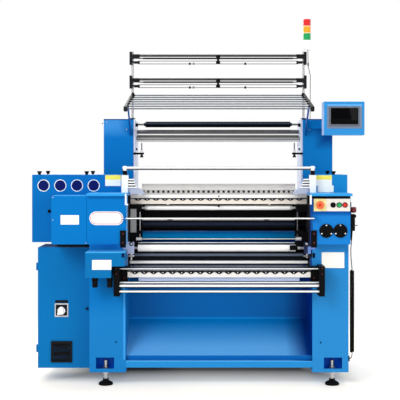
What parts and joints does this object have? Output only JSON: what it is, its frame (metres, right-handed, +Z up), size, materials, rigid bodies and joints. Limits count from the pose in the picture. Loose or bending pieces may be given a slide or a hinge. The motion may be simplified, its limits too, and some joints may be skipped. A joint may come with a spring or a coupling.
{
  "type": "warp knitting machine",
  "caption": "Crochet-type warp knitting machine with feed rollers, yarn stand, needle zone, take-down rollers, chute, control cabinet and swivel screen.",
  "frame": {"origin": "on the floor, under the middle of the machine's box", "axes": "+X to the viewer's right along the needle bar, +Y from the operator's side to the back, +Z up"},
  "size_m": [1.925, 0.95, 2.1765],
  "materials": {
    "blue_paint": "glossy",
    "pale_blue_paint": "glossy",
    "black_finish": "satin",
    "chrome_finish": "polished",
    "bright_plate": "satin",
    "bare_steel": "satin",
    "cream_bar": "satin",
    "motor_grey": "satin",
    "black_rubber": "matte",
    "navy_rubber": "matte",
    "black_plastic": "matte",
    "white_plastic": "glossy",
    "grey_plastic": "matte",
    "red_plastic": "glossy",
    "green_plastic": "glossy",
    "dark_red_plastic": "glossy",
    "lens_plastic": "glossy"
  },
  "bodies": {
    "machine": {"left_frame": "blue_paint", "right_frame": "blue_paint", "side_plates": "bright_plate", "cross_members": "blue_paint", "tray": "pale_blue_paint", "foot_pads": "black_rubber", "foot_bolts": "chrome_finish", "cabinet": "pale_blue_paint", "control_gear": "grey_plastic", "drive_box": "blue_paint", "drive_box_lid": "blue_paint", "thumb_knobs": "black_plastic", "left_cover": "blue_paint", "takedown_cover": "pale_blue_paint", "cable_plugs": "black_plastic", "main_motor": "motor_grey", "drive_belt": "black_rubber", "bed_beam": "black_finish", "needle_bed": "bright_plate", "guide_blocks": "cream_bar", "end_brackets": "black_finish", "guide_rods": "chrome_finish", "lower_bar": "cream_bar", "lower_clamps": "black_finish", "control_box": "blue_paint", "right_upper_box": "blue_paint", "panel_plate": "white_plastic", "box_fittings": "black_plastic", "screen_arm": "blue_paint", "yarn_stand": "bright_plate", "rod_rack": "bright_plate", "tower_base": "white_plastic", "tower_lenses": "lens_plastic", "side_cable": "black_rubber", "cable_coil": "black_rubber"},
    "door": {"cabinet_door": "pale_blue_paint", "door_fittings": "black_plastic"},
    "main_switch": {"switch_handle": "white_plastic"},
    "stop_mushroom": {"stop_button": "red_plastic"},
    "black_push": {"black_button": "black_plastic"},
    "green_push": {"green_button": "green_plastic"},
    "red_push": {"red_button": "red_plastic"},
    "isolator": {"isolator_knob": "dark_red_plastic"},
    "screen": {"screen_box": "blue_paint", "screen_panel": "grey_plastic"},
    "rubber_feed": {"rubber_roller": "navy_rubber"},
    "upper_feed": {"upper_feed_roller": "chrome_finish"},
    "lower_feed": {"lower_feed_roller": "chrome_finish"},
    "cloth_guide": {"cloth_roller": "black_finish"},
    "white_take_down": {"white_roller": "cream_bar"},
    "grip_take_down": {"grip_roller": "black_rubber"},
    "press_take_down": {"press_roller": "chrome_finish"},
    "spreader": {"spreader_roller": "bare_steel"},
    "needle_carrier": {"needle_bar": "cream_bar", "needle_clamps": "black_finish"},
    "guide_carrier": {"guide_bar": "cream_bar"},
    "weft_lift": {"lift_rod": "chrome_finish"},
    "start": {"start_rod": "chrome_finish"},
    "main_drive": {"main_shaft": "bare_steel"},
    "motor_drive": {"motor_pulley": "bare_steel"}
  },
  "joints": [
    {"name": "door_hinge", "type": "hinge", "parent": "machine", "child": "door", "pos_m": [-0.928, -0.1975, 0.429], "axis": [0, 0, 1], "range_deg": [-105, 0]},
    {"name": "main_switch_turn", "type": "hinge", "parent": "door", "child": "main_switch", "pos_m": [-0.783, -0.212, 0.412], "axis": [0, 1, 0], "range_deg": [0, 90]},
    {"name": "stop_press", "type": "slide", "parent": "machine", "child": "stop_mushroom", "axis": [0, 1, 0], "range_m": [0, 0.005], "stiffness_N_per_m": 800, "springref_m": -0.002},
    {"name": "black_press", "type": "slide", "parent": "machine", "child": "black_push", "axis": [0, 1, 0], "range_m": [0, 0.003], "stiffness_N_per_m": 400, "springref_m": -0.002},
    {"name": "green_press", "type": "slide", "parent": "machine", "child": "green_push", "axis": [0, 1, 0], "range_m": [0, 0.003], "stiffness_N_per_m": 400, "springref_m": -0.002},
    {"name": "red_press", "type": "slide", "parent": "machine", "child": "red_push", "axis": [0, 1, 0], "range_m": [0, 0.003], "stiffness_N_per_m": 400, "springref_m": -0.002},
    {"name": "isolator_turn", "type": "hinge", "parent": "machine", "child": "isolator", "pos_m": [0.8799, -0.355, 1.006], "axis": [1, 0, 0], "range_deg": [0, 90]},
    {"name": "screen_swivel", "type": "hinge", "parent": "machine", "child": "screen", "pos_m": [0.8465, -0.203, 1.526], "axis": [0, 0, 1], "range_deg": [-30, 30]},
    {"name": "lower_feed_spin", "type": "hinge", "parent": "machine", "child": "lower_feed", "pos_m": [0.1325, 0.295, 1.4303], "axis": [1, 0, 0], "continuous": true},
    {"name": "upper_feed_spin", "type": "hinge", "parent": "machine", "child": "upper_feed", "pos_m": [0.1325, 0.295, 1.4718], "axis": [1, 0, 0], "continuous": true},
    {"name": "rubber_feed_spin", "type": "hinge", "parent": "machine", "child": "rubber_feed", "pos_m": [0.1325, 0.295, 1.5185], "axis": [1, 0, 0], "continuous": true},
    {"name": "cloth_guide_spin", "type": "hinge", "parent": "machine", "child": "cloth_guide", "pos_m": [0.1325, -0.125, 0.902], "axis": [1, 0, 0], "continuous": true},
    {"name": "grip_spin", "type": "hinge", "parent": "machine", "child": "grip_take_down", "pos_m": [0.1325, -0.225, 0.7322], "axis": [1, 0, 0], "continuous": true},
    {"name": "white_spin", "type": "hinge", "parent": "machine", "child": "white_take_down", "pos_m": [0.1325, -0.225, 0.777], "axis": [1, 0, 0], "continuous": true},
    {"name": "press_spin", "type": "hinge", "parent": "machine", "child": "press_take_down", "pos_m": [0.1325, -0.225, 0.6952], "axis": [1, 0, 0], "continuous": true},
    {"name": "spreader_spin", "type": "hinge", "parent": "machine", "child": "spreader", "pos_m": [0.1325, -0.225, 0.6711], "axis": [1, 0, 0], "continuous": true},
    {"name": "needle_bar_slide", "type": "slide", "parent": "machine", "child": "needle_carrier", "axis": [0, 1, 0], "range_m": [-0.008, 0.008]},
    {"name": "guide_bar_slide", "type": "slide", "parent": "machine", "child": "guide_carrier", "axis": [1, 0, 0], "range_m": [-0.008, 0.008]},
    {"name": "weft_lift_slide", "type": "slide", "parent": "machine", "child": "weft_lift", "axis": [0, 0, 1], "range_m": [0, 0.015]},
    {"name": "start_rod_slide", "type": "slide", "parent": "machine", "child": "start", "axis": [1, 0, 0], "range_m": [-0.008, 0.008]},
    {"name": "main_shaft_spin", "type": "hinge", "parent": "machine", "child": "main_drive", "pos_m": [0.1325, 0.155, 0.96], "axis": [1, 0, 0], "continuous": true},
    {"name": "motor_spin", "type": "hinge", "parent": "machine", "child": "motor_drive", "pos_m": [0.1325, 0.175, 0.29], "axis": [1, 0, 0], "continuous": true}
  ],
  "couplings": [
    {"joint": "upper_feed_spin", "follows": "lower_feed_spin", "ratio": -1.7407},
    {"joint": "rubber_feed_spin", "follows": "lower_feed_spin", "ratio": 1.2703},
    {"joint": "white_spin", "follows": "grip_spin", "ratio": -1.15},
    {"joint": "press_spin", "follows": "grip_spin", "ratio": -1.7692},
    {"joint": "motor_spin", "follows": "main_shaft_spin", "ratio": 2}
  ]
}
